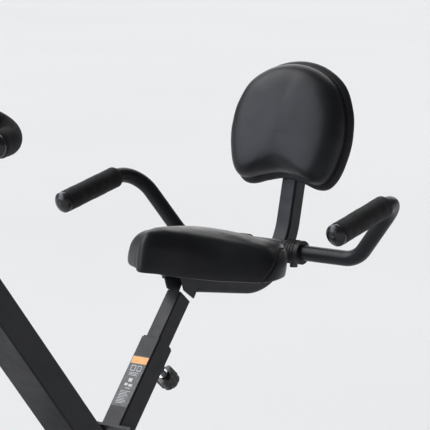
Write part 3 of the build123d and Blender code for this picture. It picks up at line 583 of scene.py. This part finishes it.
# ---------------------------------------------------------------- saddle
SEAT_SIDE = [(0, -137.5), (12, -131.5), (22, -117), (31, -98), (44, -70), (72, -44), (107, -20), (138, 6),
             (144, 34), (131, 68), (100, 101), (50, 118), (0, 122.5)]
SEAT_SAMPLES = 176
SEAT_POCKET = ((22, 13.4), (14, 13.4), (13.4, 9), (12.6, 2.5))          # inset and height, under the saddle
SEAT_HEM = ((10, -2.2), (7, -3), (3.4, -2.4), (1.2, 0), (0.4, 5))       # inset and height, round the skirt
SEAT_WALL = (0.3, 0.65, 1.0)                                            # shares of the wall above the hem
SEAT_TOP = (0.015, 0.035, 0.06, 0.09, 0.13, 0.18, 0.24, 0.31, 0.40, 0.52, 0.66, 0.82, 1.0)
SEAT_SPINE = (-98, 76)
HEM_TOP = 5
WALL_TOP, WING_WALL_DROP = 33.0, 13.0
SHOULDER, WING_SHOULDER_DROP = 59.0, 8.0
SHOULDER_REACH, WING_REACH = 18.0, 14.0
CROWN_POWER = 1.45
SEAT_HELD = 20


def wing(y):
    """1 over the wings, 0 at the nose and at the back."""
    return swell(y, -90, -35) * (1 - swell(y, 25, 85))


def seat_ridge(y):
    """Height of the saddle's crown along its middle."""
    return 74 - (12 * (-y / 138) ** 2.6 if y < 0 else 7 * (y / 110) ** 1.6)


def skirt_lift(y):
    """How far the lower edge stands above its plane: a little low beside the nose, swept up behind."""
    return 11 * swell(y, -18, 62) - 3 * swell(y, -120, -80) * (1 - swell(y, -45, -10))


def seat_rings():
    """Rings from the pocket under the saddle, round the skirt, up the wall and over the crown."""
    curve = closed_curve(mirrored(SEAT_SIDE), SEAT_SAMPLES)
    normal = outward(curve)
    rings = []
    for lift, profile in ((0, SEAT_POCKET), (1, SEAT_HEM)):
        for inset, h in profile:
            ring = []
            for p, n in zip(curve, normal):
                x, y = drawn_in(p, n, inset, (0, clamped(p[1], *SEAT_SPINE)))
                ring.append((x, y, h + skirt_lift(p[1]) * lift))
            rings.append(ring)
    for f in SEAT_WALL:
        rings.append([(x, y, wall_height(y, f)) for x, y in curve])
    edge = rings[-1]
    for q in SEAT_TOP:
        rings.append([crown_point(*p, q) for p in edge])
    return rings


def wall_height(y, f):
    """Height on the wall, at share f of the way from the hem to the wall's top."""
    return HEM_TOP + f * (WALL_TOP - HEM_TOP - WING_WALL_DROP * wing(y)) + skirt_lift(y) * (1 - 0.6 * f)


def crown_point(x, y, wall, q):
    """Point above the wall's top, at share q of the way in to the saddle's spine line."""
    px, py = x * (1 - q), y + (clamped(y, *SEAT_SPINE) - y) * q
    shoulder = SHOULDER - WING_SHOULDER_DROP * wing(y)
    inward = min(math.dist((x, y), (px, py)) / (SHOULDER_REACH + WING_REACH * wing(y)), 1.0)
    rise = (shoulder - wall) * math.sqrt(1 - (1 - inward) ** 2)
    return px, py, wall + rise + (seat_ridge(py) - shoulder) * (1 - (1 - q) ** CROWN_POWER)


SEAM_START, SEAM_CLIMB = 1, 62
SEAM_LOW, SEAM_RISE, SEAM_CURVE = -3, 56, 2.5
SEAM_SAMPLES = 900
SEAM_CENTRE = 40
SEAM_DEPTH, SEAM_WIDTH = 0.0016, 0.0013
STITCH_OFFSET = 0.0030


def seam_height(y):
    """Height of the seam round the back: up from the skirt, then level under the crown's edge."""
    share = clamped((y - SEAM_START) / SEAM_CLIMB, 0.0, 1.0)
    return SEAM_LOW + SEAM_RISE * (1 - (1 - share) ** SEAM_CURVE)


def seam_points(tree):
    """Points and normals along the seam that joins the rear panel to the main cover."""
    curve = closed_curve(mirrored(SEAT_SIDE), SEAM_SAMPLES)
    behind = [p for p in curve if p[1] > SEAM_START]
    start = max(range(len(behind)), key=lambda i: math.dist(behind[i], behind[i - 1]))
    found = []
    for x, y in behind[start:] + behind[:start]:
        h = seam_height(y)
        goal = SEAT.put(x * 0.3, SEAM_CENTRE + (y - SEAM_CENTRE) * 0.3, h)
        begin = SEAT.put(x * 1.6, SEAM_CENTRE + (y - SEAM_CENTRE) * 1.6, h)
        point, normal, _, _ = tree.ray_cast(begin, (goal - begin).normalized())
        if point is not None:
            found.append((point, normal))
    return found


def press_line(obj, points, depth, width):
    """Sink a sewn line into the cover."""
    rest = positions(obj)
    line = np.array([tuple(p) for p in points])
    low, high = line.min(0) - width * 3, line.max(0) + width * 3
    near = np.nonzero(((rest > low) & (rest < high)).all(1))[0]
    gap = np.full(len(near), 9.0)
    for block in np.array_split(line, max(1, len(line) // 40)):
        reach = np.linalg.norm(rest[near][:, None] - block[None], axis=2).min(1)
        gap = np.minimum(gap, reach)
    normal = np.empty(len(rest) * 3)
    obj.data.vertices.foreach_get("normal", normal)
    sink = depth * np.exp(-(gap / width) ** 2)
    rest[near] -= normal.reshape(-1, 3)[near] * sink[:, None]
    obj.data.vertices.foreach_set("co", rest.ravel())
    obj.data.update()


def even_line(points, step):
    """Resample (point, normal) pairs to an even spacing."""
    out, left = [points[0]], step
    for (a, na), (b, nb) in zip(points, points[1:]):
        length = (b - a).length
        done = 0.0
        while length - done >= left:
            done += left
            f = done / length
            out.append((a.lerp(b, f), na.lerp(nb, f).normalized()))
            left = step
        left -= length - done
    return out


def stitches(name, line, offset, length=0.0036, pitch=0.0052, r=0.00042):
    """A row of short thread capsules beside a seam."""
    verts, faces = [], []
    marks = even_line(line, pitch)
    for (p, n), (q, _) in zip(marks, marks[1:]):
        way = (q - p).normalized()
        side = way.cross(n).normalized()
        a = p + side * offset + n * r * 0.35
        b = a + way * length
        base = len(verts)
        rows = ((0.0, 0.2), (0.12, 0.9), (0.5, 1.1), (0.88, 0.9), (1.0, 0.2))
        for f, size in rows:
            middle = a.lerp(b, f) - n * r * (1 - size) * 1.2
            for k in range(6):
                t = 2 * math.pi * k / 6
                verts.append(middle + (side * math.cos(t) + n * math.sin(t)) * r * size)
        faces += [tuple(i + base for i in f) for f in rings_to_faces(len(rows), 6)]
        faces.append(tuple(base + i for i in range(6))[::-1])
        faces.append(tuple(base + (len(rows) - 1) * 6 + i for i in range(6)))
    return new_object(name, verts, faces)


def saddle():
    pad = ring_solid("seat_cover", seat_rings(), SEAT.put)
    inflate(pad, lambda p: SEAT.read(p)[2] < SEAT_HELD)
    subdivide(pad, 2)
    corners = [v.co.copy() for v in pad.data.vertices]
    line = seam_points(BVHTree.FromPolygons(corners, [p.vertices[:] for p in pad.data.polygons]))
    press_line(pad, [p for p, _ in even_line(line, 0.0008)], SEAM_DEPTH, SEAM_WIDTH)
    fit_out(pad, "seat_carriage", "vinyl", replaces=("seat_cushion",))
    for row, offset in (("front", STITCH_OFFSET), ("rear", -STITCH_OFFSET)):
        fit_out(stitches(f"seat_stitching_{row}", line, offset), "seat_carriage", "vinyl", THREAD)
    return pad


# ---------------------------------------------------------------- backrest
BACK_SIDE = [(0, 29), (36, 22.5), (62, 15), (82, 16), (97, 28), (108, 50), (116, 84), (117, 112),
             (111, 148), (89, 190), (48, 217), (0, 226)]
BACK_SAMPLES = 168
BACK_SPINE = (100, 140)
BACK_HELD = 36
RIM_OFF = 30.6
RIM_INSET = 7.6
PAD_EDGE = ((34, 29.0), (20, 29.0), (12.5, 29.2), (9.6, 30.3), (8.4, 32.4), (8.0, 36), (8.2, 42), (9.8, 48.5),
            (13.0, 54.5), (17.5, 59.5), (23, 63), (29, 65.2))           # inset and distance forward
PAD_FACE = ((0.10, 66.4), (0.24, 67.1), (0.42, 67.5), (0.62, 67.7), (0.82, 67.8), (1.0, 67.8))
SHELL_EDGE = ((26, 29.6), (12, 29.8), (9.0, 30.4), (RIM_INSET - 0.6, RIM_OFF + 0.5), (5.6, 30.4), (3.2, 28.2),
              (1.0, 25.2), (0.0, 21.8), (0.2, 19.2), (1.6, 17.2), (4.6, 15.9), (10, 15.4), (19, 15.3))
SHELL_FACE = ((0.2, 15.3), (0.5, 15.3), (0.8, 15.3), (1.0, 15.3))
PIPING_R = 0.0011
PIPING_SAMPLES = 280


def back_point(x, y, off):
    """Point on the backrest: off is forward of the upright's axis."""
    return BACK.put(x, y, off)


def back_rings(profile, face):
    """Rings inward from the outline by profile, then closing over a face to the middle."""
    curve = closed_curve(mirrored(BACK_SIDE), BACK_SAMPLES)
    normal = outward(curve)
    rings = []
    for inset, off in profile:
        rings.append([(*drawn_in(p, n, inset, (0, clamped(p[1], *BACK_SPINE))), off)
                      for p, n in zip(curve, normal)])
    last = rings[-1]
    for q, off in face:
        ring = []
        for x, y, _ in last:
            middle = clamped(y, *BACK_SPINE)
            ring.append((x * (1 - q), y + (middle - y) * q, off))
        rings.append(ring)
    return rings


def backrest_pad():
    pad = ring_solid("backrest_cover", back_rings(PAD_EDGE, PAD_FACE), back_point)
    inflate(pad, lambda p: BACK.read(p)[2] < BACK_HELD)
    subdivide(pad, 2)
    fit_out(pad, "seat_carriage", "vinyl", replaces=("backrest_cushion",))
    return pad


def backrest_shell():
    """Moulded shell behind the padding, with a rolled flange and a dished back."""
    shell = ring_solid("backrest_shell", back_rings(SHELL_EDGE, SHELL_FACE), back_point)
    subdivide(shell, 1)
    return fit_out(shell, "seat_carriage", "black_plastic", replaces=("backrest_board",))


def backrest_piping():
    curve = closed_curve(mirrored(BACK_SIDE), PIPING_SAMPLES)
    normal = outward(curve)
    loop = [back_point(*(p - n * (RIM_INSET + 1.2)), RIM_OFF + 0.4) for p, n in zip(curve, normal)]
    return fit_out(closed_tube("backrest_piping", loop, PIPING_R), "seat_carriage", "vinyl")


# ---------------------------------------------------------------- grips
GRIP_R = 18.0
GRIP_LEN = 133.5
HANDLE_TOP = (268.5, 420.5, 390.0)
GRIP_FRONT = (269.6, 238.5, 353.0)


def side_grip(side, name, node):
    """Foam sleeve: a thick-walled tube with rolled ends and slight hollows from use."""
    front = at(GRIP_FRONT[0] * side, *GRIP_FRONT[1:])
    rear = at(HANDLE_TOP[0] * side, *HANDLE_TOP[1:])
    way = (rear - front).normalized()
    centres, radii = [], []
    edge = [(0.0, 14.2), (0.25, 15.8), (0.9, 17.1), (2.0, 17.8), (4.0, GRIP_R)]
    rows = edge + [(d, None) for d in range(8, 126, 4)] + [(GRIP_LEN - d, r) for d, r in reversed(edge)]
    for d, r in rows:
        centres.append(front + way * d * MM)
        wave = 0.16 * math.sin(d * 0.11 + side) + 0.10 * math.sin(d * 0.29)
        radii.append((r if r else GRIP_R + wave - 0.15) * MM)
    grip = sweep_tube(name, centres, radii, 48)
    fit_out(grip, "seat_carriage", "foam", replaces=(node,))


BAR_CENTRE = (0, -512.06, 608.12)
BAR_POINTS = ((150, -512.06, 608.12), (197, -378, 560), (214, -459, 557))
BAR_BENDS = (0.045, 0.020)
FOAM_R = 18.5
FOAM_START = 0.42
FOAM_SHORT = 3.0
FOAM_SAG = 2.6
FOAM_ROLL = (1.6, 0.6, 0.15)          # how much the foam narrows over its last rings


def bar_grips():
    for side in (1, -1):
        points = [at(x * side, y, z) for x, y, z in (BAR_CENTRE, *BAR_POINTS)]
        start = points[1].lerp(points[2], FOAM_START)
        end = points[3] - (points[3] - points[2]).normalized() * FOAM_SHORT * MM
        centres = rounded_path([start, points[2], end], BAR_BENDS[1:], 0.0022)
        count = len(centres)
        sag = Vector((FOAM_SAG * side, 0, FOAM_SAG)) * MM
        for i, p in enumerate(centres):
            centres[i] = p + sag * math.sin(math.pi * i / (count - 1))
        radii = []
        for i in range(count):
            ends = min(i, count - 1 - i)
            change = -FOAM_ROLL[ends] if ends < len(FOAM_ROLL) else 0.12 * math.sin(i * 0.6)
            radii.append((FOAM_R + change) * MM)
        hand = "left" if side > 0 else "right"
        grip = sweep_tube(f"handlebar_foam_{hand}", centres, radii, 40)
        fit_out(grip, "mast", "foam", replaces=("handlebar_grips",) if side > 0 else ())


# ---------------------------------------------------------------- plain label on the seat tube
SLEEVE_FACE = 19.85
LABEL_LIFT = 0.12
LABEL_BACKING = (-15.4, 15.4, 96, 184.5)          # left, right, low and high, up the tube from the pivot
LABEL_BAND = (-15.2, 15.2, 171, 183)
LABEL_FRAMES = ((-10, -1), (2, 10))
FRAME_LOW, FRAME_TOP = 158.0, 166.5
LABEL_BLOCKS = [(-9, 9, 154.5, 155.3), (-9, 6, 152.2, 153.0), (-9, 8, 149.9, 150.7), (-4, 3, 139, 145),
                (-8, -2, 132, 136), (0, 7, 131, 135), (-4, 5, 127, 128.2)]
DASHES, DASH_TOP, DASH_PITCH, DASH_HEIGHT = 9, 122, 2.6, 0.8


def label_quad(verts, faces, x0, x1, low, high, lift):
    """Flat patch on the front face of the seat tube."""
    base = len(verts)
    for x, up in ((x0, low), (x1, low), (x1, high), (x0, high)):
        verts.append(tube_point(x, up, -(SLEEVE_FACE + lift)))
    faces.append((base, base + 1, base + 2, base + 3))


def tube_point(x, up, rear):
    """Point by the seat tube: up it from the pivot, and square to it towards its rear."""
    return TUBE.put(x, up, -rear)


def label_part(name, patches, material, lift):
    verts, faces = [], []
    for x0, x1, low, high in patches:
        label_quad(verts, faces, x0, x1, low, high, lift)
    part = new_object(name, verts, faces, smooth=False)
    mod = part.modifiers.new("thick", "SOLIDIFY")
    mod.thickness = 0.0001
    mod.offset = 0
    baked(part)
    fit_out(part, "main_frame", "frame_steel", material)


def label():
    """Generic sticker: a plain orange band over rows of pale dashes, without lettering."""
    orange = printed("label_orange", (0.80, 0.35, 0.07))
    pale = printed("label_pale", (0.52, 0.53, 0.55))
    backing = printed("label_backing", (0.022, 0.023, 0.026))
    label_part("seat_tube_label_backing", [LABEL_BACKING], backing, LABEL_LIFT)
    label_part("seat_tube_label_band", [LABEL_BAND], orange, LABEL_LIFT * 2)
    rows = []
    for a, b in LABEL_FRAMES:
        rows += [(a, b, FRAME_TOP, FRAME_TOP + 1.1), (a, b, FRAME_LOW, FRAME_LOW + 1.1)]
        rows += [(a, a + 1.0, FRAME_LOW + 1.1, FRAME_TOP), (b - 1.0, b, FRAME_LOW + 1.1, FRAME_TOP)]
    rows += LABEL_BLOCKS
    for i in range(DASHES):
        low = DASH_TOP - i * DASH_PITCH
        rows.append((-10, 9 - (i * 5) % 7, low, low + DASH_HEIGHT))
    label_part("seat_tube_label_marks", rows, pale, LABEL_LIFT * 3)


# ---------------------------------------------------------------- studio
CAMERA_FROM_PIVOT = (2179, -2618.5, 938)
CAMERA_TURN = 36.82
CAMERA_DOWN = 9.18
LENS = 193.36
FLOOR_REACH = 60
SKY_COLOUR = (0.96, 0.98, 1.0, 1)
SKY_STRENGTH = 0.16
SOFT_LIGHTS = (("soft_key", (-0.68, -0.34, 0.70), 46, 2.6, (1.0, 1.0, 1.0)),
               ("soft_front", (-0.62, -0.76, 0.16), 44, 2.0, (0.80, 0.86, 1.0)),
               ("soft_back", (-0.50, 0.70, 0.42), 56, 1.35, (1.0, 1.0, 1.0)))


def studio():
    r = FLOOR_REACH
    floor = new_object("studio_floor", [(-r, -r, 0), (r, -r, 0), (r, r, 0), (-r, r, 0)], [(0, 1, 2, 3)])
    n = Nodes("studio_floor")
    colour = n.tint(n.noise(0.35, 2), (0.80, 0.80, 0.80), (0.83, 0.83, 0.83))
    floor.data.materials.append(n.finish(colour, n.span(n.noise(3), 0.3, 0.7, 0.85, 0.95)))
    n.set(IOR=1.2)

    scene = bpy.context.scene
    scene.view_settings.view_transform = "Standard"
    scene.world = bpy.data.worlds.new("studio")
    scene.world.use_nodes = True
    back = scene.world.node_tree.nodes["Background"]
    back.inputs["Color"].default_value = SKY_COLOUR
    back.inputs["Strength"].default_value = SKY_STRENGTH

    for name, way, spread, strength, colour in SOFT_LIGHTS:
        data = bpy.data.lights.new(name, "SUN")
        data.energy = strength
        data.angle = math.radians(spread)
        data.color = colour
        lamp = bpy.data.objects.new(name, data)
        lamp.rotation_euler = Vector(way).to_track_quat("Z", "Y").to_euler()
        scene.collection.objects.link(lamp)

    lens = bpy.data.cameras.new("camera")
    lens.lens = LENS
    lens.sensor_width = 36
    lens.clip_end = 200
    camera = bpy.data.objects.new("camera", lens)
    camera.location = at(*CAMERA_FROM_PIVOT)
    camera.rotation_euler = (math.radians(90 - CAMERA_DOWN), 0, math.radians(CAMERA_TURN))
    scene.collection.objects.link(camera)
    scene.camera = camera


dress_cad()
saddle()
backrest_shell()
backrest_pad()
backrest_piping()
side_grip(1, "side_foam_left", "side_grip_left")
side_grip(-1, "side_foam_right", "side_grip_right")
bar_grips()
label()
studio()
